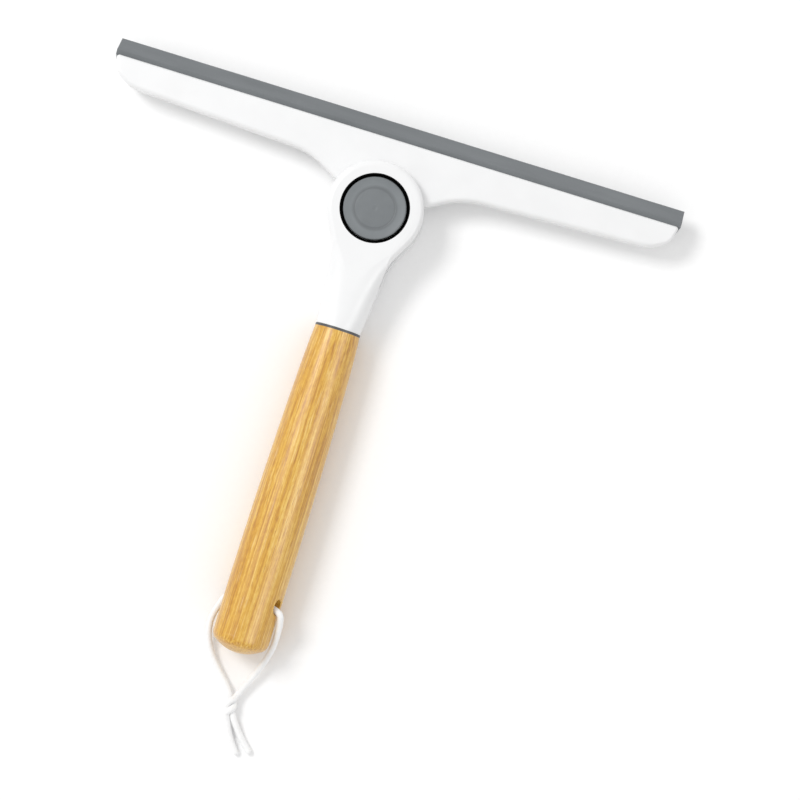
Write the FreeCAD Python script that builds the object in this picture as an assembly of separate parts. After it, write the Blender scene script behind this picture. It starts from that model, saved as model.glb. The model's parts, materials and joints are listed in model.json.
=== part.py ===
import FreeCAD, Part
import math
import os

# Window squeegee with a folding head, lying on its back with the push button facing up.
#
# +X runs along the blade, +Y from the handle to the head, +Z up out of the front face.
# Every piece is drawn about the hinge pin, whose axis is x = 0, y = 0 while drawing, and the
# whole tool is moved along Y at the end so that the origin sits under the middle of its box.
# All sizes are in millimetres.

Vector = FreeCAD.Vector
X_AXIS = Vector(1, 0, 0)
Z_AXIS = Vector(0, 0, 1)
ORIGIN = Vector(0, 0, 0)

# ---------------------------------------------------------------- driving sizes

# blade and head, heights above the hinge pin
BLADE_ROOT_LENGTH = 281.6
BLADE_TIP_LENGTH = 281.0
BLADE_TIP = 43.6
BLADE_BAR_HEIGHT = 3.8
BLADE_BAR_THICK = 5.1
BLADE_BASE_THICK = 8.2
BLADE_EDGE_THICK = 1.1
BLADE_VALLEY_THICK = 6.0
BLADE_CREST = 2.2
BLADE_WAIST_THICK = 4.4
BLADE_BAR_SETBACK = 1.5
HEAD_LENGTH = 280.4
HEAD_TOP = 35.2
HEAD_THICK = 10.0
HEAD_RING_RADIUS = 21.0
HEAD_EDGE_ROUND = 1.8
HEAD_WALL = 2.2
HEAD_SCREW_X = (14.0, 58.0, 102.0)

# hub and neck
HUB_RADIUS = 23.2
HUB_THICK = 25.0
HUB_EDGE_ROUND = 3.0
HUB_PLATE = 7.2
WELL_RADIUS = 16.65
NECK_END = 58.9
NECK_WALL = 2.3
NECK_SCREW_Y = (-28.0, -47.0)
HUB_TANGENT = 28.0
NECK_ROOT_X = 13.7
NECK_ROOT_BELOW = 23.4
NECK_ROOT_ROUND = 24.0
NECK_END_X = 10.9
SWING_RADIUS = 22.0
JOURNAL_RADIUS = 16.9

# wooden handle
HANDLE_AXIS_Z = 13.8
HANDLE_TOP = 60.1
HANDLE_END = 219.2
DOME_EDGE = 10.6
DOME_HEIGHT = 3.2
COLLAR_RADIUS = 11.0
TENON_RADIUS = 7.0
TENON_LENGTH = 38.0
TENON_START = 54.0
CORD_HOLE_Y = -192.8
CORD_HOLE_RADIUS = 3.5
CORD_HOLE_TILT = 21.0

# button and lock
BUTTON_RADIUS = 14.95
BUTTON_WALL = 1.5
PAD_RADIUS = 9.0
PAD_GROOVE = 1.0
BUTTON_TRAVEL = 3.5
TOOTH_COUNT = 24
GEAR_ROOT = 12.6
GEAR_TIP = 14.0
GEAR_LOW = 7.4
GEAR_HIGH = 12.6
SPRING_WIRE = 0.9
SPRING_RADIUS = 6.2
SPRING_TURNS = 3.5
POST_RADIUS = 4.0
LEG_INNER = 8.5
LEG_OUTER = 10.5
LEG_HALF_WIDTH = 2.0

# blade carrier and screws
CARRIER_LENGTH = 244.0
CARRIER_THICK = 1.6
NECK_SCREW_SEAT = 4.0
HEAD_SCREW_DEPTH = 2.4

# hanging cord: two halves that twist once round each other in the knot
CORD_RADIUS = 1.55
KNOT_TOP = Vector(3.9, -239.6, 3.75)
KNOT_DROP = 10.5
KNOT_SHIFT = 1.5
KNOT_SINK = 0.3
KNOT_RADIUS = 1.82
KNOT_STEPS = 6

RUNNING_FIT = 0.1

# ---------------------------------------------------------------- derived sizes

MID_Z = HUB_THICK / 2
HEAD_LOW = MID_Z - HEAD_THICK / 2
HEAD_HIGH = MID_Z + HEAD_THICK / 2
GAP_LOW = HUB_PLATE
GAP_HIGH = HUB_THICK - HUB_PLATE
WEB_LOW = GAP_HIGH - 2.0
CUP_FLOOR = 2.0
CUP_RIM = 9.0
RING_TEETH_LOW = CUP_RIM + 0.4
JOURNAL_BORE = JOURNAL_RADIUS + RUNNING_FIT
CHANNEL_FLOOR = HEAD_TOP - BLADE_BAR_HEIGHT - 0.1
CAVITY_TOP = HEAD_TOP - 6.1
CAVITY_LOW = HEAD_LOW + HEAD_WALL
CAVITY_HIGH = HEAD_HIGH - HEAD_WALL
HEAD_SCREW_Y = HEAD_TOP - 8.1
HEAD_SCREW_SEAT = HEAD_LOW + HEAD_SCREW_DEPTH
CARRIER_LOW = HEAD_TOP - 11.7
CARRIER_HIGH = HEAD_TOP - 1.3
CARRIER_HALF = CARRIER_LENGTH / 2
WASHER_LOW = WEB_LOW + 1.0
WASHER_TOP = WASHER_LOW + 0.6
CAP_TOP = HUB_THICK - 0.2
CAP_CEILING = CAP_TOP - 1.7
SKIRT_LOW = GAP_HIGH + BUTTON_TRAVEL + 0.3
GEAR_POCKET = GEAR_LOW + 2.6
PIVOT_Y = (HANDLE_END - BLADE_TIP) / 2

# ---------------------------------------------------------------- drawing helpers


def disc(radius, z0, z1, x=0.0, y=0.0):
    return Part.makeCylinder(radius, z1 - z0, Vector(x, y, z0))


def ring(outer, inner, z0, z1):
    return disc(outer, z0, z1).cut(disc(inner, z0 - 1, z1 + 1))


def block(x0, x1, y0, y1, z0, z1):
    return Part.makeBox(x1 - x0, y1 - y0, z1 - z0, Vector(x0, y0, z0))


def prism(face, z0, z1):
    lifted = face.copy()
    lifted.translate(Vector(0, 0, z0))
    return lifted.extrude(Vector(0, 0, z1 - z0))


def mirrored(shape):
    return shape.mirror(ORIGIN, X_AXIS)


def fused(shapes):
    shapes = list(shapes)
    return shapes[0].multiFuse(shapes[1:]).removeSplitter()


def corner_arc(before, corner, after, radius):
    """The arc of this radius that rounds a corner, with the two points where it starts and ends."""
    back = (before - corner).normalize()
    ahead = (after - corner).normalize()
    half = back.getAngle(ahead) / 2
    reach = radius / math.tan(half)
    start = corner + back * reach
    end = corner + ahead * reach
    middle_line = (back + ahead).normalize()
    middle = corner + middle_line * (radius / math.sin(half) - radius)
    return start, middle, end


def rounded_path(corners):
    """The edges of an open path through corners (point, radius), each inner corner rounded."""
    edges = []
    at = corners[0][0]
    for i in range(1, len(corners) - 1):
        corner, radius = corners[i]
        if radius == 0:
            edges.append(Part.makeLine(at, corner))
            at = corner
            continue
        start, middle, end = corner_arc(corners[i - 1][0], corner, corners[i + 1][0], radius)
        edges.append(Part.makeLine(at, start))
        edges.append(Part.Arc(start, middle, end).toShape())
        at = end
    edges.append(Part.makeLine(at, corners[-1][0]))
    return edges


def half_outline_face(corners):
    """A flat face symmetric about x = 0, from the (x, y, radius) corners of its right half."""
    half = rounded_path([(Vector(x, y, 0), radius) for x, y, radius in corners])
    other = [mirrored(edge) for edge in half]
    return Part.Face(Part.Wire(Part.__sortEdges__(half + other)))


def outline_edges(solid, z_levels, keep):
    """The edges lying flat on one of these levels whose middle passes the keep test."""
    found = []
    for edge in solid.Edges:
        box = edge.BoundBox
        flat = any(abs(box.ZMin - z) < 1e-4 and abs(box.ZMax - z) < 1e-4 for z in z_levels)
        if flat and keep(edge.valueAt((edge.FirstParameter + edge.LastParameter) / 2)):
            found.append(edge)
    return found


def rounded_section(y, half_width, half_height, centre_z, squareness):
    """A closed smooth section across the handle: squareness 2 is an ellipse, more is squarer."""
    points = []
    for i in range(24):
        angle = 2 * math.pi * i / 24
        c = math.cos(angle)
        s = math.sin(angle)
        x = half_width * math.copysign(abs(c) ** (2 / squareness), c)
        z = half_height * math.copysign(abs(s) ** (2 / squareness), s)
        points.append(Vector(x, y, centre_z + z))
    curve = Part.BSplineCurve()
    curve.interpolate(Points=points, PeriodicFlag=True)
    return Part.Wire(curve.toShape())


def toothed_face(count, root, tip, root_half_angle, tip_half_angle):
    """A spline outline: count straight-sided teeth between the root and tip circles."""

    def at(radius, degrees):
        angle = math.radians(degrees)
        return Vector(radius * math.cos(angle), radius * math.sin(angle), 0)

    edges = []
    pitch = 360 / count
    for i in range(count):
        middle = i * pitch
        low = middle - root_half_angle
        high = middle + root_half_angle
        edges.append(Part.makeLine(at(root, low), at(tip, middle - tip_half_angle)))
        edges.append(Part.Arc(at(tip, middle - tip_half_angle), at(tip, middle),
                              at(tip, middle + tip_half_angle)).toShape())
        edges.append(Part.makeLine(at(tip, middle + tip_half_angle), at(root, high)))
        edges.append(Part.Arc(at(root, high), at(root, middle + pitch / 2),
                              at(root, middle + pitch - root_half_angle)).toShape())
    return Part.Face(Part.Wire(edges))


def screw(x, y, seat_z, head_radius, head_height, shank_radius, shank_length, towards):
    """A cross-head screw. towards is +1 when the shank points up and -1 when it points down."""
    seat = Vector(x, y, seat_z)
    head = Part.makeCylinder(head_radius, head_height, seat, Vector(0, 0, -towards))
    shank = Part.makeCylinder(shank_radius, shank_length, seat, Vector(0, 0, towards))
    head_end = seat_z - towards * head_height
    head = head.makeFillet(head_height * 0.35, outline_edges(head, (head_end,), lambda p: True))
    arm = head_radius * 0.6
    depth = head_height * 0.5
    slot_low = min(head_end, head_end + towards * depth)
    body = head.fuse(shank)
    for half_x, half_y in ((arm, 0.35), (0.35, arm)):
        slot = block(x - half_x, x + half_x, y - half_y, y + half_y,
                     slot_low - 0.01, slot_low + depth + 0.01)
        body = body.cut(slot)
    return body.removeSplitter()


def handle_rod(radius, below, length):
    """A rod on the handle's axis that starts this far below the pin and runs away from it."""
    return Part.makeCylinder(radius, length, Vector(0, -below, HANDLE_AXIS_Z), Vector(0, -1, 0))


def around_pin(shape, count=3, start=90.0):
    """Copies of the shape spaced evenly round the hinge pin."""
    placed = []
    for i in range(count):
        copy = shape.copy()
        copy.rotate(ORIGIN, Z_AXIS, start + i * 360 / count)
        placed.append(copy)
    return placed


# ---------------------------------------------------------------- hub and neck

# Sections of the neck, from far outside the hub down to the round end at the collar:
# distance below the pin, half width, half height, middle height, squareness.
NECK_SECTIONS = (
    (7.0, 26.0, 14.6, MID_Z, 5.0),
    (14.0, 22.0, 13.7, MID_Z, 4.6),
    (21.0, 18.4, 13.05, MID_Z, 4.1),
    (27.0, 15.6, 12.72, MID_Z, 3.7),
    (33.0, 14.1, 12.5, 12.55, 3.2),
    (46.0, 12.5, 11.75, 13.1, 2.5),
    (NECK_END, 10.85, 10.85, HANDLE_AXIS_Z, 2.0),
)


def neck_loft(inset, first, last):
    sections = []
    for below, half_width, half_height, centre_z, squareness in NECK_SECTIONS:
        sections.append(
            rounded_section(-below, half_width - inset, half_height - inset, centre_z, squareness))
    loft = Part.makeLoft(sections, True, False)
    return loft.common(block(-40, 40, -last, -first, -20, 50))


def hub_and_neck_block():
    """The hub disc running into the neck through a hollow curve on each side, with no inside."""
    tangent = math.radians(HUB_TANGENT)
    tangent_x = HUB_RADIUS * math.cos(tangent)
    tangent_y = -HUB_RADIUS * math.sin(tangent)
    plan = half_outline_face([
        (0, 0, 0),
        (tangent_x, 0, 0),
        (tangent_x, tangent_y, 0),
        (NECK_ROOT_X, -NECK_ROOT_BELOW, NECK_ROOT_ROUND),
        (NECK_END_X, -NECK_END, 0),
        (NECK_END_X, -NECK_END - 3, 0),
        (0, -NECK_END - 3, 0),
    ])
    solid = disc(HUB_RADIUS, 0, HUB_THICK).fuse(prism(plan, 0, HUB_THICK)).removeSplitter()
    rim = outline_edges(solid, (0, HUB_THICK), lambda p: p.y > -NECK_END - 2)
    solid = solid.makeFillet(HUB_EDGE_ROUND, rim)
    below_hub = block(-60, 60, -NECK_END - 5, -9, -5, 30)
    return solid.cut(below_hub.cut(neck_loft(0, 9, NECK_END)))


def swing_room():
    """The slot between the two plates: the head swings in it, and a wedge of neck stops the head
    at its two folded positions."""
    side = half_outline_face([
        (0, 30, 0),
        (40, 30, 0),
        (40, -36.5, 0),
        (13.4, -36.5, 0),
        (7.0, -21.0, 0),
        (0, -21.0, 0),
    ])
    return prism(side, GAP_LOW, GAP_HIGH).fuse(disc(SWING_RADIUS, GAP_LOW, GAP_HIGH))


hub_and_neck = hub_and_neck_block()
plates = hub_and_neck.cut(swing_room())
neck_cavity = neck_loft(NECK_WALL, 37.0, 55.7)
gear_face = toothed_face(TOOTH_COUNT, GEAR_ROOT, GEAR_TIP, 4.6, 2.6)
socket_face = toothed_face(TOOTH_COUNT, GEAR_ROOT + RUNNING_FIT, GEAR_TIP + RUNNING_FIT, 5.1, 3.1)


def neck_front_shell():
    """Front plate with the button well, a web under it, the journal that carries the head's ring,
    slots for the three button legs and bosses for the neck screws."""
    shell = plates.common(block(-60, 60, -NECK_END - 5, 60, MID_Z, 40)).cut(neck_cavity)
    shell = shell.fuse(disc(JOURNAL_RADIUS, WEB_LOW, GAP_HIGH + 0.5))
    shell = shell.cut(disc(WELL_RADIUS, GAP_HIGH, HUB_THICK + 1))
    shell = shell.cut(ring(20.8, 17.4, GAP_HIGH - 1, GAP_HIGH + 0.8))
    shell = shell.cut(disc(5.3, WASHER_LOW, GAP_HIGH + 1))
    shell = shell.cut(disc(1.95, WEB_LOW - 1, GAP_HIGH + 1))
    leg_slot = block(LEG_INNER - 0.2, LEG_OUTER + 1.1, -LEG_HALF_WIDTH - 0.2, LEG_HALF_WIDTH + 0.2,
                     WEB_LOW - 1, GAP_HIGH + 1)
    for slot in around_pin(leg_slot):
        shell = shell.cut(slot)
    shell = shell.fuse(disc(3.2, MID_Z, 24.0, 0, NECK_SCREW_Y[1]).common(hub_and_neck))
    for y in NECK_SCREW_Y:
        shell = shell.cut(disc(1.4, MID_Z - 1, 19.5, 0, y))
    return shell.cut(handle_rod(TENON_RADIUS + 0.1, NECK_END - 8, 12)).removeSplitter()


def neck_rear_shell():
    """Rear plate with the toothed cup and the centre post, and the hollow tenon that is glued
    into the wooden handle."""
    shell = plates.common(block(-60, 60, -NECK_END - 5, 60, -10, MID_Z)).cut(neck_cavity)
    shell = shell.fuse(disc(JOURNAL_RADIUS, GAP_LOW - 0.5, CUP_RIM))
    shell = shell.cut(prism(socket_face, CUP_FLOOR, CUP_RIM + 1))
    shell = shell.cut(ring(20.8, 17.4, GAP_LOW - 0.8, GAP_LOW + 1))
    shell = shell.fuse(disc(POST_RADIUS, CUP_FLOOR - 0.5, WEB_LOW))
    shell = shell.cut(disc(1.8, 4.0, WEB_LOW + 1))
    shell = shell.fuse(disc(3.4, 2.5, MID_Z, 0, NECK_SCREW_Y[1]).common(hub_and_neck))
    tenon = handle_rod(TENON_RADIUS, TENON_START, TENON_LENGTH + NECK_END - TENON_START)
    shell = shell.fuse(tenon.cut(handle_rod(3.5, NECK_END + 8.5, TENON_LENGTH - 8)))
    for y in NECK_SCREW_Y:
        shell = shell.cut(disc(1.5, -1, MID_Z + 1, 0, y))
        shell = shell.cut(disc(3.0, -1, NECK_SCREW_SEAT, 0, y))
    return shell.removeSplitter()


def neck_screws():
    return Part.makeCompound([
        screw(0, y, NECK_SCREW_SEAT, 2.8, 2.0, 1.35, 15.0, 1) for y in NECK_SCREW_Y
    ])


# ---------------------------------------------------------------- handle

# Distance below the pin and radius of the wooden grip, swelling away from the neck.
GRIP_PROFILE = (
    (HANDLE_TOP, 11.0),
    (72.2, 11.75),
    (87.2, 12.3),
    (104.0, 12.8),
    (122.8, 13.2),
    (141.8, 13.5),
    (163.6, 13.72),
    (186.4, 13.8),
    (210.6, 13.6),
)
GRIP_SHOULDER = (214.0, 12.9)

tilt = math.radians(CORD_HOLE_TILT)
hole_line = Vector(math.cos(tilt), 0, math.sin(tilt))
hole_middle = Vector(0, CORD_HOLE_Y, HANDLE_AXIS_Z)


def handle_grip():
    """The turned grip with a shallow ball-cap end, the bore for the tenon and the cord's hole."""

    def at(below, radius):
        return Vector(radius, -below, HANDLE_AXIS_Z)

    side = Part.BSplineCurve()
    side.interpolate(Points=[at(below, radius) for below, radius in GRIP_PROFILE])
    dome_radius = (DOME_EDGE ** 2 + DOME_HEIGHT ** 2) / (2 * DOME_HEIGHT)
    dome_half = math.asin(DOME_EDGE / dome_radius) / 2
    dome_start = at(HANDLE_END - DOME_HEIGHT, DOME_EDGE)
    dome_middle = at(HANDLE_END - dome_radius * (1 - math.cos(dome_half)),
                     dome_radius * math.sin(dome_half))
    profile = Part.Wire([
        side.toShape(),
        Part.Arc(at(*GRIP_PROFILE[-1]), at(*GRIP_SHOULDER), dome_start).toShape(),
        Part.Arc(dome_start, dome_middle, at(HANDLE_END, 0)).toShape(),
        Part.makeLine(at(HANDLE_END, 0), at(HANDLE_TOP, 0)),
        Part.makeLine(at(HANDLE_TOP, 0), at(*GRIP_PROFILE[0])),
    ])
    grip = Part.Face(profile).revolve(Vector(0, 0, HANDLE_AXIS_Z), Vector(0, 1, 0), 360)
    grip = grip.cut(handle_rod(TENON_RADIUS + 0.1, HANDLE_TOP - 1, TENON_LENGTH + 1))
    grip = grip.cut(Part.makeCylinder(CORD_HOLE_RADIUS, 60, hole_middle - hole_line * 30, hole_line))
    for way in (1, -1):
        rim = hole_middle + hole_line * (way * 12.9)
        grip = grip.cut(Part.makeCone(CORD_HOLE_RADIUS, CORD_HOLE_RADIUS + 2.0, 2.0, rim, hole_line * way))
    return grip


def handle_collar():
    collar = handle_rod(COLLAR_RADIUS, NECK_END, HANDLE_TOP - NECK_END)
    return collar.cut(handle_rod(TENON_RADIUS + 0.1, NECK_END - 1, 5))


# ---------------------------------------------------------------- hinge hardware, button and lock


def button_cap():
    """A cap with a thumb pad inside a shallow round groove, a dished band and a soft rim, standing
    on three snap legs."""

    def at(radius, below_top):
        return Vector(radius, 0, CAP_TOP - below_top)

    inner = BUTTON_RADIUS - BUTTON_WALL
    groove_end = PAD_RADIUS + PAD_GROOVE
    crown = BUTTON_RADIUS - 0.75
    top = [
        Part.Arc(at(0, 0.42), at(0.7, 0.36), at(1.4, 0.24)).toShape(),
        Part.Arc(at(1.4, 0.24), at(5.2, 0.27), at(PAD_RADIUS, 0.40)).toShape(),
        Part.Arc(at(PAD_RADIUS, 0.40), at(PAD_RADIUS + 0.5, 0.52), at(groove_end, 0.42)).toShape(),
        Part.Arc(at(groove_end, 0.42), at((groove_end + crown) / 2, 0.36), at(crown, 0.0)).toShape(),
        Part.Arc(at(crown, 0.0), at(crown + 0.6, 0.2), at(BUTTON_RADIUS, 0.7)).toShape(),
    ]
    skirt = Part.makePolygon([
        at(BUTTON_RADIUS, 0.7),
        Vector(BUTTON_RADIUS, 0, SKIRT_LOW),
        Vector(inner, 0, SKIRT_LOW),
        Vector(inner, 0, CAP_CEILING),
        Vector(0, 0, CAP_CEILING),
        at(0, 0.42),
    ])
    cap = Part.Face(Part.Wire(top + skirt.Edges)).revolve(ORIGIN, Z_AXIS, 360)
    leg = block(LEG_INNER, LEG_OUTER, -LEG_HALF_WIDTH, LEG_HALF_WIDTH, GEAR_HIGH, CAP_CEILING + 0.5)
    hook = block(LEG_OUTER - 0.1, LEG_OUTER + 0.8, -LEG_HALF_WIDTH, LEG_HALF_WIDTH,
                 WEB_LOW - 1.3, WEB_LOW - 0.1)
    return fused([cap] + around_pin(leg.fuse(hook)))


def button_guide_ring():
    """The dark liner of the well: a close ring that guides the cap, under a thin sleeve."""
    guide_top = GAP_HIGH + 3.0
    guide = ring(WELL_RADIUS, BUTTON_RADIUS + RUNNING_FIT, GAP_HIGH, guide_top)
    sleeve = ring(WELL_RADIUS, WELL_RADIUS - 0.5, guide_top - 0.5, HUB_THICK - 0.3)
    return guide.fuse(sleeve).removeSplitter()


def lock_gear():
    """The toothed ring that joins the head to the rear cup until the button pushes it clear."""
    gear = prism(gear_face, GEAR_LOW, GEAR_HIGH)
    gear = gear.cut(disc(POST_RADIUS + RUNNING_FIT, GEAR_LOW - 1, GEAR_HIGH + 1))
    return gear.cut(disc(7.6, GEAR_LOW - 1, GEAR_POCKET))


def return_spring():
    """A coil spring standing between the cup's floor and the gear's pocket."""
    low = CUP_FLOOR + SPRING_WIRE / 2 + 0.02
    rise = GEAR_POCKET - SPRING_WIRE / 2 - 0.02 - low
    helix = Part.makeLongHelix(rise / SPRING_TURNS, rise, SPRING_RADIUS)
    start = Vector(SPRING_RADIUS, 0, 0)
    wire_section = Part.Wire(Part.makeCircle(SPRING_WIRE / 2, start, Vector(0, 1, 0)))
    spring = Part.Wire(helix.Edges).makePipeShell([wire_section], True, True)
    spring.translate(Vector(0, 0, low))
    return spring


# ---------------------------------------------------------------- head

screw_places = [(side * x, HEAD_SCREW_Y) for x in HEAD_SCREW_X for side in (1, -1)]
rib_places = [side * x for x in (40.0, 80.0, 118.0) for side in (1, -1)]


def head_outline():
    """The two arms above the hinge ring, with no inside: blunt ends and softened edges."""
    ring_corner = math.radians(20.3)
    ring_x = HEAD_RING_RADIUS * math.cos(ring_corner)
    ring_y = HEAD_RING_RADIUS * math.sin(ring_corner)
    arms_face = half_outline_face([
        (0, HEAD_TOP, 0),
        (HEAD_LENGTH / 2, HEAD_TOP, 1.2),
        (138.0, 27.0, 7.0),
        (129.7, 22.0, 14.0),
        (38.0, 17.9, 40.0),
        (ring_x, ring_y, 0),
        (0, ring_y, 0),
    ])
    arms = prism(arms_face, HEAD_LOW, HEAD_HIGH)
    rim = outline_edges(arms, (HEAD_LOW, HEAD_HIGH), lambda p: p.y > ring_y + 0.5)
    arms = arms.makeFillet(HEAD_EDGE_ROUND, rim)
    solid = arms.fuse(disc(HEAD_RING_RADIUS, HEAD_LOW, HEAD_HIGH))
    return solid.cut(disc(JOURNAL_BORE, HEAD_LOW - 1, HEAD_HIGH + 1))


def head_hollow():
    """The cavity in each arm and the channel that grips the blade's bar."""
    right = Part.Face(Part.Wire(rounded_path([
        (Vector(30, CAVITY_TOP, 0), 0),
        (Vector(132.5, CAVITY_TOP, 0), 1.5),
        (Vector(129.0, 24.4, 0), 2.5),
        (Vector(37.5, 20.2, 0), 8.0),
        (Vector(26.5, 15.4, 0), 1.5),
        (Vector(22.0, 20.3, 0), 1.0),
        (Vector(22.0, CAVITY_TOP, 0), 1.0),
        (Vector(30, CAVITY_TOP, 0), 0),
    ])))
    half_channel = BLADE_BAR_THICK / 2 + 0.05
    channel = block(-150, 150, CHANNEL_FLOOR, HEAD_TOP + 1, MID_Z - half_channel, MID_Z + half_channel)
    return fused([prism(face, CAVITY_LOW, CAVITY_HIGH) for face in (right, mirrored(right))] + [channel])


def carrier_room():
    """The flat slot for the blade carrier, interrupted at every screw boss."""
    half_room = CARRIER_THICK / 2 + 0.1
    room = block(-CARRIER_HALF - 0.3, CARRIER_HALF + 0.3, CARRIER_LOW - 0.2, HEAD_TOP,
                 MID_Z - half_room, MID_Z + half_room)
    for x, y in screw_places:
        room = room.cut(disc(2.9, 0, HUB_THICK, x, y))
    return room


head_solid = head_outline()
head_inside = head_hollow()


def head_shell(z0, z1):
    """One half of the head between two heights, with its bosses and cross ribs."""
    shell = head_solid.common(block(-160, 160, -30, 60, z0, z1)).cut(head_inside)
    inner_low = max(z0, CAVITY_LOW - 0.3)
    inner_high = min(z1, CAVITY_HIGH + 0.3)
    bosses = [disc(2.9, inner_low, inner_high, x, y) for x, y in screw_places]
    ribs = [block(x - 0.7, x + 0.7, 18.8, CAVITY_TOP + 0.4, inner_low, inner_high).common(head_solid)
            for x in rib_places]
    for inner in bosses + ribs:
        shell = shell.fuse(inner)
    return shell.cut(carrier_room())


def head_front_shell():
    shell = head_shell(MID_Z, HEAD_HIGH)
    for x, y in screw_places:
        shell = shell.cut(disc(1.3, MID_Z - 1, HEAD_HIGH - 1.2, x, y))
    return shell.removeSplitter()


def head_rear_shell():
    """The rear half, which also holds the toothed ring that the lock gear enters."""
    shell = head_shell(HEAD_LOW, MID_Z)
    shell = shell.fuse(ring(JOURNAL_BORE + 0.5, GEAR_TIP - 2, RING_TEETH_LOW, MID_Z))
    shell = shell.cut(prism(socket_face, RING_TEETH_LOW - 1, MID_Z + 1))
    for x, y in screw_places:
        shell = shell.cut(disc(1.45, HEAD_LOW - 1, MID_Z + 1, x, y))
        shell = shell.cut(disc(2.7, HEAD_LOW - 1, HEAD_SCREW_SEAT, x, y))
    return shell.removeSplitter()


def head_screws():
    return Part.makeCompound([
        screw(x, y, HEAD_SCREW_SEAT, 2.5, 1.6, 1.25, 6.0, 1) for x, y in screw_places
    ])


# ---------------------------------------------------------------- blade


def blade_carrier():
    """The flat strip that stiffens the blade's bar, with an opening round every screw boss."""
    strip = block(-CARRIER_HALF, CARRIER_HALF, CARRIER_LOW, CARRIER_HIGH,
                  MID_Z - CARRIER_THICK / 2, MID_Z + CARRIER_THICK / 2)
    for x, y in screw_places:
        strip = strip.cut(disc(3.2, 0, HUB_THICK, x, y))
    return strip


def blade_section(x):
    """A bar in the channel, a valley beside the head, a crest, then a flank down to the thin edge."""

    def at(y, z):
        return Vector(x, y, MID_Z + z)

    bar = BLADE_BAR_THICK / 2
    base = BLADE_BASE_THICK / 2
    edge = BLADE_EDGE_THICK / 2
    waist = BLADE_WAIST_THICK / 2
    foot = HEAD_TOP - BLADE_BAR_HEIGHT
    valley = BLADE_VALLEY_THICK / 2
    crest = HEAD_TOP + BLADE_CREST
    waist_y = (crest + BLADE_TIP) / 2
    near_side = [at(foot, bar), at(HEAD_TOP, bar), at(HEAD_TOP, valley), at(crest, base)]
    far_side = [at(crest, -base), at(HEAD_TOP, -valley), at(HEAD_TOP, -bar), at(foot, -bar)]
    edges = Part.makePolygon(near_side).Edges
    edges.append(Part.Arc(at(crest, base), at(waist_y, waist), at(BLADE_TIP, edge)).toShape())
    edges.append(Part.makeLine(at(BLADE_TIP, edge), at(BLADE_TIP, -edge)))
    edges.append(Part.Arc(at(BLADE_TIP, -edge), at(waist_y, -waist), at(crest, -base)).toShape())
    edges.extend(Part.makePolygon(far_side + near_side[:1]).Edges)
    return Part.Face(Part.Wire(edges))


def squeegee_blade():
    """The rubber blade: its ends lean in slightly, and its bar stops short of them in the head."""
    half_root = BLADE_ROOT_LENGTH / 2
    half_tip = BLADE_TIP_LENGTH / 2
    blade = blade_section(-half_root).extrude(Vector(BLADE_ROOT_LENGTH, 0, 0))
    foot = HEAD_TOP - BLADE_BAR_HEIGHT
    end_waste = Part.Face(Part.makePolygon([
        Vector(half_root - BLADE_BAR_SETBACK, foot - 1, 0),
        Vector(half_root - BLADE_BAR_SETBACK, foot + 1, 0),
        Vector(half_root, HEAD_TOP - 0.6, 0),
        Vector(half_root, HEAD_TOP + 1, 0),
        Vector(half_tip, BLADE_TIP, 0),
        Vector(half_tip, BLADE_TIP + 2, 0),
        Vector(half_root + 2, BLADE_TIP + 2, 0),
        Vector(half_root + 2, foot - 1, 0),
        Vector(half_root - BLADE_BAR_SETBACK, foot - 1, 0),
    ]))
    end_cut = prism(end_waste, 0, HUB_THICK)
    return blade.cut(end_cut).cut(mirrored(end_cut)).cut(blade_carrier())


# ---------------------------------------------------------------- hanging cord


def knot_points(start_angle):
    """The centre line points of one strand going once round the other."""
    points = []
    for i in range(KNOT_STEPS + 1):
        share = i / KNOT_STEPS
        angle = start_angle + 2 * math.pi * share
        points.append(Vector(
            KNOT_TOP.x + KNOT_SHIFT * share + KNOT_RADIUS * math.cos(angle),
            KNOT_TOP.y - KNOT_DROP * share,
            KNOT_TOP.z - KNOT_SINK * share + KNOT_RADIUS * math.sin(angle),
        ))
    return points


# Each half runs from the middle of the hole through its mouth, round the knot and on to its cut end.
cord_middle = hole_middle - Vector(0, 1.0, 0)
right_route = [
    cord_middle,
    cord_middle + hole_line * 5.6 - Vector(0, 0.3, 0),
    cord_middle + hole_line * 11.2 - Vector(0, 0.2, 0),
    Vector(15.2, -195.3, 19.0),
    Vector(17.5, -199.3, 17.9),
    Vector(17.9, -204.8, 14.8),
    Vector(17.0, -210.6, 11.2),
    Vector(15.0, -217.2, 7.9),
    Vector(12.4, -223.8, 5.6),
    Vector(9.7, -230.2, 4.3),
    Vector(7.4, -235.6, 3.85),
] + knot_points(0.0) + [
    Vector(9.0, -252.6, 2.9),
    Vector(12.2, -256.6, 2.1),
    Vector(16.2, -260.9, 1.72),
    Vector(20.0, -264.4, 1.68),
]
left_route = [
    cord_middle,
    cord_middle - hole_line * 5.6 - Vector(0, 0.3, 0),
    cord_middle - hole_line * 11.2 - Vector(0, 0.2, 0),
    Vector(-14.6, -195.8, 7.8),
    Vector(-16.2, -200.1, 6.9),
    Vector(-17.1, -205.6, 6.4),
    Vector(-16.7, -211.9, 5.5),
    Vector(-14.8, -218.4, 4.2),
    Vector(-11.3, -224.8, 3.1),
    Vector(-6.7, -230.0, 2.6),
    Vector(-2.5, -234.2, 2.7),
    Vector(0.3, -237.2, 3.15),
] + knot_points(math.pi) + [
    Vector(5.2, -253.0, 2.8),
    Vector(7.5, -257.8, 2.0),
    Vector(10.6, -262.5, 1.72),
    Vector(14.2, -266.7, 1.68),
]


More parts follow.
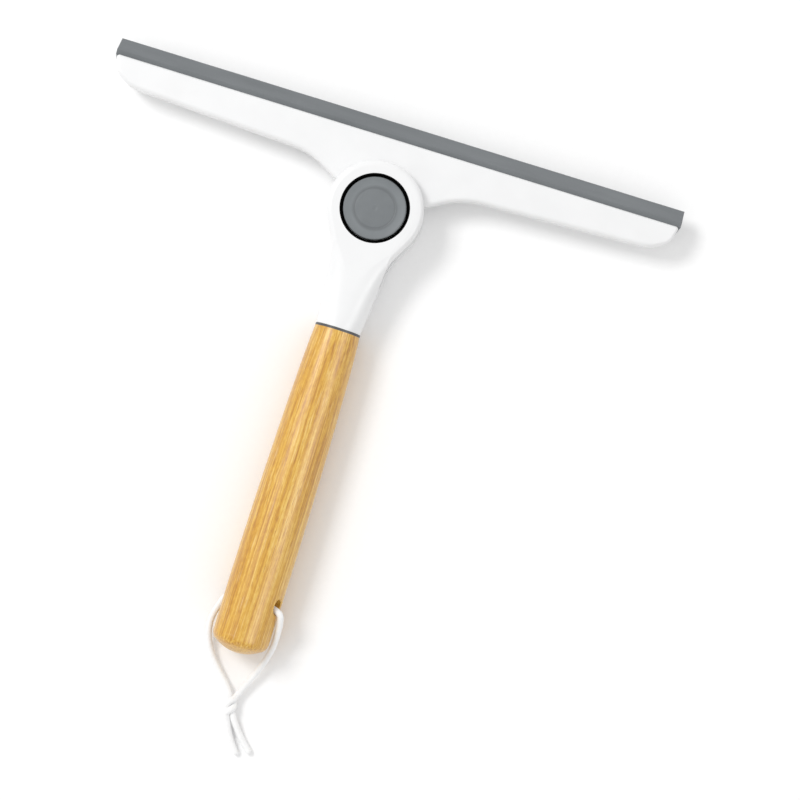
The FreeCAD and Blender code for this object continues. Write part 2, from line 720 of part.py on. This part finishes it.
def cord_half(name, route):
    """A round tube along the route: straight runs joined by arcs that touch both runs."""
    corners = [(route[0], 0)]
    radii = []
    for i in range(1, len(route) - 1):
        back = route[i - 1] - route[i]
        ahead = route[i + 1] - route[i]
        turn = math.pi - back.getAngle(ahead)
        radius = 0.45 * min(back.Length, ahead.Length) / math.tan(turn / 2)
        radii.append(round(radius, 1))
        corners.append((route[i], radius))
    corners.append((route[-1], 0))
    path = Part.Wire(rounded_path(corners))
    section = Part.Wire(Part.makeCircle(CORD_RADIUS, route[0], route[1] - route[0]))
    tube = path.makePipeShell([section], True, False)
    expected = math.pi * CORD_RADIUS ** 2 * path.Length
    print(name, "length", round(path.Length, 1), "bend radii", radii)
    print(name, "volume share", round(tube.Volume / expected, 4), "lowest", round(tube.BoundBox.ZMin, 2))
    return tube


# ---------------------------------------------------------------- export

nodes = {
    "handle_grip": handle_grip(),
    "handle_collar": handle_collar(),
    "neck_front_shell": neck_front_shell(),
    "neck_rear_shell": neck_rear_shell(),
    "neck_screws": neck_screws(),
    "pivot_screw": screw(0, 0, WASHER_TOP, 3.9, 1.8, 1.75, 12.5, -1),
    "pivot_washer": ring(5.0, 2.0, WASHER_LOW, WASHER_TOP),
    "friction_washer_front": ring(20.6, 17.6, HEAD_HIGH + 0.05, GAP_HIGH + 0.8),
    "friction_washer_rear": ring(20.6, 17.6, GAP_LOW - 0.8, HEAD_LOW - 0.05),
    "button_guide_ring": button_guide_ring(),
    "button_cap": button_cap(),
    "lock_gear": lock_gear(),
    "return_spring": return_spring(),
    "head_front_shell": head_front_shell(),
    "head_rear_shell": head_rear_shell(),
    "head_screws": head_screws(),
    "squeegee_blade": squeegee_blade(),
    "blade_carrier": blade_carrier(),
    "cord_right": cord_half("cord_right", right_route),
    "cord_left": cord_half("cord_left", left_route),
}

os.makedirs("parts", exist_ok=True)
for name, shape in nodes.items():
    shape.translate(Vector(0, PIVOT_Y, 0))
    shape.exportStep("parts/" + name + ".step")
    print(name, len(shape.Solids), "solids, valid", shape.isValid(), "volume", round(shape.Volume, 1))
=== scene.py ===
import json
import math

import bmesh
import bpy
from mathutils import Matrix, Vector, noise


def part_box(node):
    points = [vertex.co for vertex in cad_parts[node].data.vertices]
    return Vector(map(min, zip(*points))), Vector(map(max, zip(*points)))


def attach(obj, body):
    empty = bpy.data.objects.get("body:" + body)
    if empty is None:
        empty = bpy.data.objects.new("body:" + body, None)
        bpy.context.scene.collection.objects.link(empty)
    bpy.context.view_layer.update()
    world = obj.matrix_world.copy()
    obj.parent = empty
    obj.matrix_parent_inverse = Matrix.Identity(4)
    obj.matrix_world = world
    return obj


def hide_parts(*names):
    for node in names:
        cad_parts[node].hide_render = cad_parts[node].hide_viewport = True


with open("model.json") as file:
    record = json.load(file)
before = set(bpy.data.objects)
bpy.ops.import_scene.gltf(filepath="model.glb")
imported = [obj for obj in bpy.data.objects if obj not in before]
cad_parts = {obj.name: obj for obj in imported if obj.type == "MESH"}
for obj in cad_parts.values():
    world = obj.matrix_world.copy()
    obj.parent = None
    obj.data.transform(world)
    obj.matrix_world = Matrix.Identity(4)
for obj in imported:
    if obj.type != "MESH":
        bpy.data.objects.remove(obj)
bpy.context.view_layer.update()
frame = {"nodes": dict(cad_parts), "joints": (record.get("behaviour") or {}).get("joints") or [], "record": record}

# Window squeegee with a folding head: camera, lights, node materials, and the pieces whose looks
# need more than their CAD solids: the rubber blade and the braided hanging cord.
# Everything is in metres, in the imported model's own frame.

nodes = frame["nodes"]
joints = {joint["name"]: joint for joint in frame["joints"]}
pivot = Vector(joints["head_pivot"]["pos_m"])
MM = 0.001

# ---------------------------------------------------------------- camera

# the camera's place and the point it faces, both from the pivot
CAMERA_FROM_PIVOT = Vector((0.0615, -0.1219, 1.0))
AIM_FROM_PIVOT = Vector((0.0381, -0.0823, 0.0))
CAMERA_ROLL = math.radians(17.4)
LENS_MM = 94.9
SENSOR_MM = 36.0
CLIP_NEAR = 0.01
CLIP_FAR = 50.0


def add_camera():
    """The camera; gives back the picture's right and up directions."""
    place = pivot + CAMERA_FROM_PIVOT
    back = (place - (pivot + AIM_FROM_PIVOT)).normalized()
    right = Vector((0, 1, 0)).cross(back).normalized()
    up = back.cross(right)
    c = math.cos(CAMERA_ROLL)
    s = math.sin(CAMERA_ROLL)
    turned_right = right * c + up * s
    turned_up = up * c - right * s
    data = bpy.data.cameras.new("camera")
    data.lens = LENS_MM
    data.sensor_width = SENSOR_MM
    data.clip_start = CLIP_NEAR
    data.clip_end = CLIP_FAR
    camera = bpy.data.objects.new("camera", data)
    axes = Matrix((turned_right, turned_up, back)).transposed()
    camera.matrix_world = Matrix.Translation(place) @ axes.to_4x4()
    bpy.context.scene.collection.objects.link(camera)
    bpy.context.scene.camera = camera
    return turned_right, turned_up


picture_right, picture_up = add_camera()

# ---------------------------------------------------------------- finishes

BAMBOO_STRIP = 5.6 * MM
SEAM_CORE = 0.06 * MM
SEAM_EDGE = 0.16 * MM
SEAM_DEPTH = 0.12 * MM
# how far out from the pivot the button's painted shading reaches
BUTTON_PAINTED_SHADING_REACH = 16 * MM


class Finish:
    """A node material being built: a principled shader fed by procedural textures in metres."""

    def __init__(self, name):
        self.material = bpy.data.materials.new(name)
        self.material.use_nodes = True
        self.tree = self.material.node_tree
        self.shader = self.tree.nodes["Principled BSDF"]
        self.place = self.add("ShaderNodeTexCoord").outputs["Object"]

    def add(self, kind, **settings):
        node = self.tree.nodes.new(kind)
        for key, value in settings.items():
            setattr(node, key, value)
        return node

    def feed(self, socket, value):
        if isinstance(value, bpy.types.NodeSocket):
            self.tree.links.new(value, socket)
        else:
            socket.default_value = value

    def stretched(self, x, y, z):
        """The place in cells per metre along each axis."""
        mapping = self.add("ShaderNodeMapping")
        self.feed(mapping.inputs["Vector"], self.place)
        mapping.inputs["Scale"].default_value = (x, y, z)
        return mapping.outputs["Vector"]

    def evenly(self, cells):
        """The place in the same number of cells per metre along every axis."""
        return self.stretched(cells, cells, cells)

    def noise(self, vector, detail=2.0, roughness=0.5):
        texture = self.add("ShaderNodeTexNoise")
        self.feed(texture.inputs["Vector"], vector)
        texture.inputs["Scale"].default_value = 1.0
        texture.inputs["Detail"].default_value = detail
        texture.inputs["Roughness"].default_value = roughness
        return texture.outputs["Fac"]

    def ramp(self, value, stops):
        node = self.add("ShaderNodeValToRGB")
        self.feed(node.inputs["Fac"], value)
        elements = node.color_ramp.elements
        while len(elements) < len(stops):
            elements.new(0.5)
        for element, (position, colour) in zip(elements, stops):
            element.position = position
            element.color = (*colour, 1.0)
        return node.outputs["Color"]

    def mix(self, factor, first, second, blend="MIX"):
        node = self.add("ShaderNodeMix", data_type="RGBA", blend_type=blend)
        self.feed(node.inputs["Factor"], factor)
        for socket, value in ((node.inputs[6], first), (node.inputs[7], second)):
            self.feed(socket, (*value, 1.0) if isinstance(value, tuple) else value)
        return node.outputs[2]

    def maths(self, operation, first, second=0.0):
        node = self.add("ShaderNodeMath", operation=operation)
        self.feed(node.inputs[0], first)
        self.feed(node.inputs[1], second)
        return node.outputs[0]

    def spread(self, value, low, high, out_low=0.0, out_high=1.0):
        """The value between low and high, carried over to the range out_low to out_high."""
        node = self.add("ShaderNodeMapRange")
        self.feed(node.inputs["Value"], value)
        for name, number in (("From Min", low), ("From Max", high),
                             ("To Min", out_low), ("To Max", out_high)):
            node.inputs[name].default_value = number
        return node.outputs["Result"]

    def axis(self, letter):
        split = self.add("ShaderNodeSeparateXYZ")
        self.feed(split.inputs[0], self.place)
        return split.outputs[letter]

    def bump(self, height, depth, under=None):
        node = self.add("ShaderNodeBump")
        self.feed(node.inputs["Height"], height)
        node.inputs["Strength"].default_value = 1.0
        node.inputs["Distance"].default_value = depth
        if under is not None:
            self.feed(node.inputs["Normal"], under)
        return node.outputs["Normal"]

    def finish(self, colour, roughness, normal=None, **numbers):
        self.feed(self.shader.inputs["Base Color"], colour)
        self.feed(self.shader.inputs["Roughness"], roughness)
        if normal is not None:
            self.feed(self.shader.inputs["Normal"], normal)
        for name, value in numbers.items():
            socket = name.replace("_", " ").title().replace("Ior", "IOR")
            self.shader.inputs[socket].default_value = value
        return self.material


def grey(value, tint=(1.0, 1.0, 1.0)):
    return tuple(value * t for t in tint)


def bamboo():
    """Lacquered bamboo: fine fibres along the grip, glued strips of slightly different tone, and
    the short dark pores and pale fibres that show where a strip was cut."""
    f = Finish("bamboo")
    fibres = f.noise(f.stretched(1250, 8, 1250), 2.5, 0.60)
    mottle = f.noise(f.stretched(900, 330, 900), 3.0, 0.65)
    strip = f.maths("FLOOR", f.maths("MULTIPLY", f.axis("X"), 1 / BAMBOO_STRIP))
    random = f.add("ShaderNodeTexWhiteNoise", noise_dimensions="1D")
    f.feed(random.inputs["W"], strip)
    tone = f.maths("ADD", f.maths("MULTIPLY", fibres, 0.72), f.maths("MULTIPLY", mottle, 0.28))
    tone = f.maths("ADD", tone, f.spread(random.outputs["Value"], 0, 1, -0.025, 0.025))
    colour = f.ramp(tone, [
        (0.37, (0.480, 0.205, 0.012)),
        (0.45, (0.610, 0.300, 0.020)),
        (0.53, (0.700, 0.388, 0.036)),
        (0.63, (0.820, 0.535, 0.120)),
    ])
    patches = f.spread(f.noise(f.stretched(120, 14, 120), 2.0), 0.40, 0.60)
    dashes = f.spread(f.noise(f.stretched(2300, 130, 2300), 1.0), 0.60, 0.68)
    dark = f.maths("MULTIPLY", f.maths("MULTIPLY", dashes, patches), 0.75)
    colour = f.mix(dark, colour, (0.430, 0.165, 0.008))
    pale = f.spread(f.noise(f.stretched(1300, 70, 1300), 1.0), 0.60, 0.72, 0.0, 0.40)
    colour = f.mix(pale, colour, (0.880, 0.640, 0.290))
    roughness = f.spread(fibres, 0.3, 0.7, 0.34, 0.46)
    normal = f.bump(f.maths("SUBTRACT", fibres, dark), 0.030 * MM)
    return f.finish(colour, roughness, normal, coat_weight=0.75, coat_roughness=0.34, coat_ior=1.5)


def white_shell():
    """Smooth white plastic, with the parting line between the front and rear shells: a shallow bumped groove,
    darkened with painted shade.
    """
    f = Finish("white_shell")
    cloud = f.noise(f.evenly(60), 3.0)
    colour = f.mix(f.spread(cloud, 0.35, 0.65), (0.832, 0.834, 0.837), (0.852, 0.854, 0.857))
    # the line lies half way up the hub
    off = f.maths("ABSOLUTE", f.maths("SUBTRACT", f.axis("Z"), pivot.z))
    seam_groove_and_painted_shade = f.spread(off, SEAM_CORE, SEAM_EDGE, 1.0, 0.0)
    # painted shade: the groove of the parting line darkened towards grey
    colour = f.mix(seam_groove_and_painted_shade, colour, (0.42, 0.42, 0.42))
    pebble = f.noise(f.evenly(2600), 2.0, 0.6)
    normal = f.bump(pebble, 0.006 * MM)
    normal = f.bump(seam_groove_and_painted_shade, -SEAM_DEPTH, normal)
    roughness = f.spread(f.noise(f.evenly(180), 3.0), 0.3, 0.7, 0.30, 0.40)
    return f.finish(colour, roughness, normal)


def grey_button():
    """Matt grey plastic, with painted shading of the dished cap by distance from the pivot: the thumb pad and the
    groove round it darker, the dished band lighter, the rim darker.
    """
    f = Finish("grey_button")
    cloud = f.noise(f.evenly(120), 3.0)
    colour = f.mix(f.spread(cloud, 0.3, 0.7), (0.178, 0.194, 0.204), (0.196, 0.213, 0.223))
    out_x = f.maths("SUBTRACT", f.axis("X"), pivot.x)
    out_y = f.maths("SUBTRACT", f.axis("Y"), pivot.y)
    squares = f.maths("ADD", f.maths("MULTIPLY", out_x, out_x), f.maths("MULTIPLY", out_y, out_y))
    radius = f.maths("SQRT", squares)
    # painted shade and light of the dish relief: darker centre, pad and groove, lighter dished band, darker
    # towards the rim
    painted_dish_shading = f.ramp(f.spread(radius, 0.0, BUTTON_PAINTED_SHADING_REACH), [
        (0.00, grey(0.80)),
        (0.05, grey(0.86)),
        (0.55, grey(0.88)),
        (0.585, grey(0.75)),
        (0.63, grey(0.77)),
        (0.70, grey(1.00)),
        (0.85, grey(0.96)),
        (0.93, grey(0.86)),
    ])
    colour = f.mix(1.0, colour, painted_dish_shading, "MULTIPLY")
    grain = f.noise(f.evenly(4200), 2.0, 0.7)
    roughness = f.spread(cloud, 0.3, 0.7, 0.42, 0.52)
    return f.finish(colour, roughness, f.bump(grain, 0.010 * MM))


def grey_rubber():
    """Moulded rubber with faint lines along the blade and a little dust."""
    f = Finish("grey_rubber")
    cloud = f.noise(f.stretched(28, 160, 160), 3.0)
    colour = f.mix(f.spread(cloud, 0.3, 0.7), (0.150, 0.162, 0.170), (0.178, 0.191, 0.200))
    dust = f.spread(f.noise(f.evenly(900), 4.0, 0.7), 0.62, 0.80, 0.0, 0.25)
    colour = f.mix(dust, colour, (0.30, 0.31, 0.32))
    lines = f.noise(f.stretched(20, 3200, 3200), 1.0)
    grain = f.noise(f.evenly(3000), 2.0)
    normal = f.bump(grain, 0.008 * MM, f.bump(lines, 0.010 * MM))
    roughness = f.spread(cloud, 0.3, 0.7, 0.46, 0.58)
    return f.finish(colour, roughness, normal)


def plain_moulding(name, value, tint, rough, depth, specular=0.5):
    """A moulded plastic of one hue with slight clouding, gloss variation and a fine grain."""
    f = Finish(name)
    cloud = f.noise(f.evenly(150), 3.0)
    colour = f.mix(f.spread(cloud, 0.3, 0.7), grey(value * 0.92, tint), grey(value * 1.06, tint))
    grain = f.noise(f.evenly(3500), 2.0, 0.6)
    roughness = f.spread(cloud, 0.3, 0.7, rough - 0.05, rough + 0.05)
    return f.finish(colour, roughness, f.bump(grain, depth), specular_ior_level=specular)


def plated_steel(name, value, turned):
    """Metal with fine tool marks: rings round a turned screw, or lines along drawn wire."""
    f = Finish(name)
    cells = (900, 900, 9000) if turned else (4000, 4000, 4000)
    marks = f.noise(f.stretched(*cells), 2.0)
    blotch = f.noise(f.evenly(400), 3.0)
    colour = f.mix(f.spread(blotch, 0.3, 0.7), grey(value * 0.88, (1.0, 0.99, 0.96)), grey(value))
    roughness = f.spread(blotch, 0.3, 0.7, 0.24, 0.40)
    return f.finish(colour, roughness, f.bump(marks, 0.006 * MM), metallic=1.0)


def white_cord():
    """Soft white yarn, with fine threads."""
    f = Finish("white_cord")
    cloud = f.noise(f.evenly(400), 3.0)
    colour = f.mix(f.spread(cloud, 0.3, 0.7), (0.90, 0.90, 0.895), (0.95, 0.95, 0.95))
    threads = f.noise(f.evenly(6500), 3.0, 0.7)
    normal = f.bump(threads, 0.03 * MM)
    roughness = f.spread(threads, 0.3, 0.7, 0.70, 0.90)
    return f.finish(colour, roughness, normal, sheen_weight=0.25)


finishes = {
    "bamboo": bamboo(),
    "white_shell": white_shell(),
    "grey_button": grey_button(),
    "grey_rubber": grey_rubber(),
    "collar_grey": plain_moulding("collar_grey", 0.075, (1.0, 1.0, 1.03), 0.45, 0.008 * MM),
    "black_plastic": plain_moulding("black_plastic", 0.0015, (1.0, 1.0, 1.0), 0.75, 0.010 * MM,
                                    specular=0.08),
    "steel": plated_steel("steel", 0.62, True),
    "spring_steel": plated_steel("spring_steel", 0.50, False),
    "acetal": plain_moulding("acetal", 0.78, (1.0, 0.99, 0.94), 0.42, 0.006 * MM),
    "nylon_strip": plain_moulding("nylon_strip", 0.70, (1.0, 1.0, 0.98), 0.50, 0.010 * MM),
    "white_cord": white_cord(),
}
for part in frame["record"]["subparts"]:
    mesh = nodes[part["node"]].data
    mesh.materials.clear()
    mesh.materials.append(finishes[part["material_slot"]])

# ---------------------------------------------------------------- meshes


def bridge(bm, rings, way=1):
    """Faces between each ring of points and the next; way -1 turns them over."""
    count = len(rings[0])
    for lower, upper in zip(rings, rings[1:]):
        for j in range(count):
            a, b = (j, (j + 1) % count)[::way]
            bm.faces.new((lower[a], lower[b], upper[b], upper[a]))


def placed_object(name, bm, material, smooth=True):
    """The mesh as a named object in the scene, in one finish."""
    mesh = bpy.data.meshes.new(name)
    bm.to_mesh(mesh)
    bm.free()
    for face in mesh.polygons:
        face.use_smooth = smooth
    mesh.materials.append(material)
    placed = bpy.data.objects.new(name, mesh)
    bpy.context.scene.collection.objects.link(placed)
    return placed


# ---------------------------------------------------------------- hanging cord
# The cord's places have their Y measured from the pivot.

CORD_RADIUS = 1.55 * MM
HOLE_Y = -0.1928
CORD_BELOW_HOLE = 0.001
HANDLE_AXIS_Z = 0.0138
HOLE_TILT = math.radians(21.0)
KNOT_TOP = Vector((0.0039, -0.2400, 0.00370))
KNOT_DROP = 0.0092
KNOT_SHIFT = 0.0013
KNOT_SINK = 0.0003
KNOT_RADIUS = 0.00168
KNOT_STEPS = 6
BRAID_STRANDS = 8
BRAID_PITCH = 2.4 * MM
BRAID_DEPTH = 0.10 * MM
BRAID_ROUND = 40
BRAID_STEP = 0.22 * MM
YARN_ROUNDNESS = 0.55
YARN_MEAN = 0.82
YARN_CROSSING = 0.18
FUZZ_HEIGHT = 0.015 * MM
FUZZ_RUN = 0.5 * MM
FUZZ_TURN = 0.9
FUZZ_ROW = 7.0
CUT_END_LEAST = 0.12
LINE_RESOLUTION = 24

hole_line = Vector((math.cos(HOLE_TILT), 0.0, math.sin(HOLE_TILT)))
cord_middle = Vector((0.0, HOLE_Y - CORD_BELOW_HOLE, HANDLE_AXIS_Z))


def knot_points(start_angle):
    """The points of one strand going once round the other."""
    points = []
    for i in range(KNOT_STEPS + 1):
        share = i / KNOT_STEPS
        angle = start_angle + 2 * math.pi * share
        points.append(Vector((
            KNOT_TOP.x + KNOT_SHIFT * share + KNOT_RADIUS * math.cos(angle),
            KNOT_TOP.y - KNOT_DROP * share,
            KNOT_TOP.z - KNOT_SINK * share + KNOT_RADIUS * math.sin(angle),
        )))
    return points


right_route = [
    cord_middle,
    cord_middle + hole_line * 0.0056 - Vector((0, 0.0003, 0)),
    cord_middle + hole_line * 0.0112 - Vector((0, 0.0002, 0)),
    Vector((0.0146, -0.1954, 0.0189)),
    Vector((0.0158, -0.1989, 0.0175)),
    Vector((0.0160, -0.2044, 0.0145)),
    Vector((0.0159, -0.2106, 0.0109)),
    Vector((0.0147, -0.2172, 0.0077)),
    Vector((0.0124, -0.2238, 0.0056)),
    Vector((0.0097, -0.2302, 0.0043)),
    Vector((0.0074, -0.2356, 0.00385)),
] + knot_points(0.0) + [
    Vector((0.0090, -0.2526, 0.0029)),
    Vector((0.0122, -0.2566, 0.0021)),
    Vector((0.0162, -0.2609, 0.00172)),
    Vector((0.0200, -0.2644, 0.00168)),
]
left_route = [
    cord_middle,
    cord_middle - hole_line * 0.0056 - Vector((0, 0.0003, 0)),
    cord_middle - hole_line * 0.0112 - Vector((0, 0.0002, 0)),
    Vector((-0.0139, -0.1966, 0.0068)),
    Vector((-0.0151, -0.2008, 0.0060)),
    Vector((-0.0167, -0.2060, 0.0060)),
    Vector((-0.0167, -0.2120, 0.0054)),
    Vector((-0.0150, -0.2184, 0.0042)),
    Vector((-0.0114, -0.2248, 0.0031)),
    Vector((-0.0067, -0.2300, 0.0026)),
    Vector((-0.0025, -0.2342, 0.0027)),
    Vector((0.0003, -0.2372, 0.00315)),
] + knot_points(math.pi) + [
    Vector((0.0052, -0.2530, 0.0028)),
    Vector((0.0075, -0.2578, 0.0020)),
    Vector((0.0106, -0.2625, 0.00172)),
    Vector((0.0142, -0.2667, 0.00168)),
]


def spline_points(name, route):
    """The centre line: the points of a NURBS spline whose control points are the route."""
    curve = bpy.data.curves.new(name + "_line", "CURVE")
    curve.dimensions = "3D"
    curve.resolution_u = LINE_RESOLUTION
    spline = curve.splines.new("NURBS")
    spline.points.add(len(route) - 1)
    for point, place in zip(spline.points, route):
        point.co = (place.x, place.y + pivot.y, place.z, 1.0)
    spline.use_endpoint_u = True
    spline.order_u = 3
    holder = bpy.data.objects.new(name + "_line", curve)
    line = bpy.data.meshes.new_from_object(holder)
    points = [v.co.copy() for v in line.vertices]
    bpy.data.objects.remove(holder)
    bpy.data.curves.remove(curve)
    bpy.data.meshes.remove(line)
    return points


def even_steps(points, step):
    """Places every step along the line through the points, and the line's length."""
    places = []
    travelled = 0.0
    wanted = 0.0
    for start, end in zip(points, points[1:]):
        run = (end - start).length
        while run > 0 and wanted <= travelled + run:
            places.append(start.lerp(end, (wanted - travelled) / run))
            wanted += step
        travelled += run
    places.append(points[-1])
    return places, travelled


def braid_height(around, along):
    """How high the braid stands, from 0 to 1: two families of yarns that pass over and under."""
    turns = around * BRAID_STRANDS / 2
    pitches = along / BRAID_PITCH
    u = turns + pitches
    v = turns - pitches
    weave = math.cos(math.pi * u) * math.cos(math.pi * v)
    first = abs(math.cos(math.pi * u)) ** YARN_ROUNDNESS * (YARN_MEAN + YARN_CROSSING * weave)
    second = abs(math.cos(math.pi * v)) ** YARN_ROUNDNESS * (YARN_MEAN - YARN_CROSSING * weave)
    return max(first, second)


def braided_cord(name, route):
    """A braided cord as a mesh that follows the route's spline, its cut end rounded over."""
    line = spline_points(name, route)
    places, length = even_steps(line, BRAID_STEP)
    bm = bmesh.new()
    side = None
    rings = []
    for i, place in enumerate(places):
        ahead = (places[min(i + 1, len(places) - 1)] - places[max(i - 1, 0)]).normalized()
        if side is None:
            side = ahead.orthogonal().normalized()
        side = (side - ahead * side.dot(ahead)).normalized()
        other = ahead.cross(side)
        along = i * BRAID_STEP
        # the last yarns before the cut are pressed together into a blunt end
        left = max(length - along, 0.0) / CORD_RADIUS
        blunt = math.sqrt(max(0.0, 1 - max(0.0, 1 - left) ** 2)) if i < len(places) - 1 else 0.0
        ring = []
        for j in range(BRAID_ROUND):
            angle = 2 * math.pi * j / BRAID_ROUND
            height = braid_height(j / BRAID_ROUND, along)
            fuzz_place = Vector((j * FUZZ_TURN, along / FUZZ_RUN, FUZZ_ROW))
            fuzz = noise.noise(fuzz_place) * FUZZ_HEIGHT
            radius = CORD_RADIUS - BRAID_DEPTH * (1 - height) + fuzz
            radius *= max(blunt, CUT_END_LEAST)
            outward = side * math.cos(angle) + other * math.sin(angle)
            ring.append(bm.verts.new(place + outward * radius))
        rings.append(ring)
    bridge(bm, rings)
    for ring, centre, flip in ((rings[0], places[0], True), (rings[-1], places[-1], False)):
        middle = bm.verts.new(centre)
        for j in range(BRAID_ROUND):
            k = (j + 1) % BRAID_ROUND
            corners = (ring[k], ring[j], middle) if flip else (ring[j], ring[k], middle)
            bm.faces.new(corners)
    cord = placed_object(name, bm, finishes["white_cord"])
    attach(cord, "handle")
    return cord, line, length


def add_cords():
    for name, node, route, way in (("braided_cord_right", "cord_right", right_route, 1),
                                   ("braided_cord_left", "cord_left", left_route, -1)):
        cord, line, length = braided_cord(name, route)
        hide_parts(node)


add_cords()

# ---------------------------------------------------------------- rubber blade

BLADE_STATIONS = 260
FLANK_POINTS = 16
BAR_HALF = 2.5 * MM
VALLEY_HALF = 3.0 * MM
TIP_HALF = 0.55 * MM
CREST_ABOVE_HEAD = 2.2 * MM
EDGE_ROUND = 0.35 * MM
END_LEAN = 0.3 * MM
BAR_SETBACK = 1.5 * MM
SETBACK_DEPTH = 0.4 * MM
SETBACK_RUN = 2.4 * MM
END_PULL = 0.10
WAVE_HEIGHT = 0.05 * MM
WAVE_LENGTH = 0.022
WAVE_ROW = 3.0
WAVE_MEAN = 0.3
SHARP_ANGLE = math.radians(40)

head_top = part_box("head_front_shell")[1].y


def blade_outline(low, high):
    """Half of the blade's section from the wiping edge to the bar: (height, half thickness)."""
    bar_foot = low.y
    tip = high.y
    thick = (high.z - low.z) / 2
    crest = head_top + CREST_ABOVE_HEAD
    half = [
        (tip, 0.0),
        (tip, TIP_HALF - 0.12 * MM),
        (tip - 0.05 * MM, TIP_HALF - 0.03 * MM),
        (tip - 0.15 * MM, TIP_HALF),
    ]
    # the flank, thin at the wiping edge, swells a little hollow up to the crest
    for i in range(1, FLANK_POINTS):
        share = i / FLANK_POINTS
        y = tip - (tip - crest) * share
        half.append((y, TIP_HALF + (thick - TIP_HALF) * (0.9 * share + 0.1 * share ** 2)))
    half += [
        (crest + 0.16 * MM, thick - 0.12 * MM),
        (crest, thick - 0.02 * MM),
        (crest - 0.18 * MM, thick - 0.06 * MM),
        (head_top + 0.9 * MM, VALLEY_HALF + 0.36 * MM),
        (head_top + 0.25 * MM, VALLEY_HALF + 0.06 * MM),
        (head_top + 0.01 * MM, VALLEY_HALF),
        (head_top + 0.01 * MM, BAR_HALF),
        (bar_foot + EDGE_ROUND, BAR_HALF),
        (bar_foot, BAR_HALF - EDGE_ROUND),
        (bar_foot, 0.0),
    ]
    return half


def rubber_blade():
    """The rubber blade drawn along its length, with softened corners and a faintly wavy edge."""
    low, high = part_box("squeegee_blade")
    half = blade_outline(low, high)
    outline = half + [(y, -z) for y, z in reversed(half[1:-1])]
    tip = high.y
    bm = bmesh.new()
    rings = []
    for i in range(BLADE_STATIONS + 1):
        share = i / BLADE_STATIONS
        # stations crowd towards the ends, where the corners are softened
        share = 0.5 - 0.5 * math.cos(math.pi * share)
        across = 2 * share - 1
        ring = []
        for y, z in outline:
            above = max(0.0, (y - head_top) / (tip - head_top))
            inside = min(1.0, max(0.0, (head_top - SETBACK_DEPTH - y) / SETBACK_RUN))
            reach = high.x - END_LEAN * above - BAR_SETBACK * inside
            x = reach * across
            near_end = max(0.0, 1 - (reach - abs(x)) / EDGE_ROUND)
            pull = 1 - END_PULL * near_end ** 2
            swell = noise.noise(Vector((x / WAVE_LENGTH, WAVE_ROW, 0.0))) - WAVE_MEAN
            wave = WAVE_HEIGHT * above ** 3 * swell
            ring.append(bm.verts.new((x, min(y + wave, tip), pivot.z + z * pull)))
        rings.append(ring)
    bridge(bm, rings, -1)
    bm.faces.new(rings[0])
    bm.faces.new(list(reversed(rings[-1])))
    bmesh.ops.recalc_face_normals(bm, faces=bm.faces)
    blade = placed_object("rubber_blade", bm, finishes["grey_rubber"])
    blade.data.set_sharp_from_angle(angle=SHARP_ANGLE)
    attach(blade, "head")
    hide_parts("squeegee_blade")


rubber_blade()

# ---------------------------------------------------------------- floor and light

FLOOR_HALF = 6.0
KEY_DISTANCE = 2.4
KEY_ELEVATION = math.radians(50)
KEY_UPWARD = 0.64
KEY_LEFTWARD = 0.77
KEY_SIZE = 0.78
KEY_POWER = 22.0
STRIP_SIZE = (0.60, 1.30)
STRIP_DIRECTION = Vector((0.67, 0.0, 0.74))
STRIP_DISTANCE = 1.3
STRIP_POWER = 8.0
WORLD_STRENGTH = 0.81


def floor():
    """The white ground that the tool lies on."""
    bm = bmesh.new()
    corners = [(-1, -1), (1, -1), (1, 1), (-1, 1)]
    bm.faces.new([bm.verts.new((x * FLOOR_HALF, y * FLOOR_HALF, 0.0)) for x, y in corners])
    f = Finish("floor")
    paper = f.noise(f.evenly(400), 2.0)
    colour = f.mix(f.spread(paper, 0.3, 0.7), grey(0.975), grey(0.985))
    roughness = f.spread(paper, 0.3, 0.7, 0.85, 0.95)
    material = f.finish(colour, roughness, specular_ior_level=0.0)
    placed_object("floor", bm, material, smooth=False)


def area_light(name, place, target, width, height, power, along):
    """A rectangular light at a place, facing the target, its height along a chosen direction."""
    data = bpy.data.lights.new(name, "AREA")
    data.shape = "RECTANGLE"
    data.size = width
    data.size_y = height
    data.energy = power
    light = bpy.data.objects.new(name, data)
    back = (place - target).normalized()
    right = along.cross(back).normalized()
    axes = Matrix((right, back.cross(right), back)).transposed()
    light.matrix_world = Matrix.Translation(place) @ axes.to_4x4()
    bpy.context.scene.collection.objects.link(light)
    return light


def studio():
    """Even white surroundings, one key light from the upper left and a strip for the lacquer."""
    scene = bpy.context.scene
    scene.view_settings.view_transform = "Standard"
    scene.view_settings.look = "None"
    world = bpy.data.worlds.new("studio")
    world.use_nodes = True
    background = world.node_tree.nodes["Background"]
    background.inputs["Color"].default_value = (1.0, 1.0, 1.0, 1.0)
    background.inputs["Strength"].default_value = WORLD_STRENGTH
    scene.world = world
    target = pivot + AIM_FROM_PIVOT
    from_left = (picture_up * KEY_UPWARD - picture_right * KEY_LEFTWARD).normalized()
    key = from_left * math.cos(KEY_ELEVATION) + Vector((0, 0, 1)) * math.sin(KEY_ELEVATION)
    area_light("key_light", target + key * KEY_DISTANCE, target,
               KEY_SIZE, KEY_SIZE, KEY_POWER, picture_up)
    strip = STRIP_DIRECTION * STRIP_DISTANCE
    highlight = area_light("strip_light", target + strip, target,
                           *STRIP_SIZE, STRIP_POWER, Vector((0, 1, 0)))
    # the strip is there for the long sheen on the lacquer only
    highlight.visible_diffuse = False


floor()
studio()
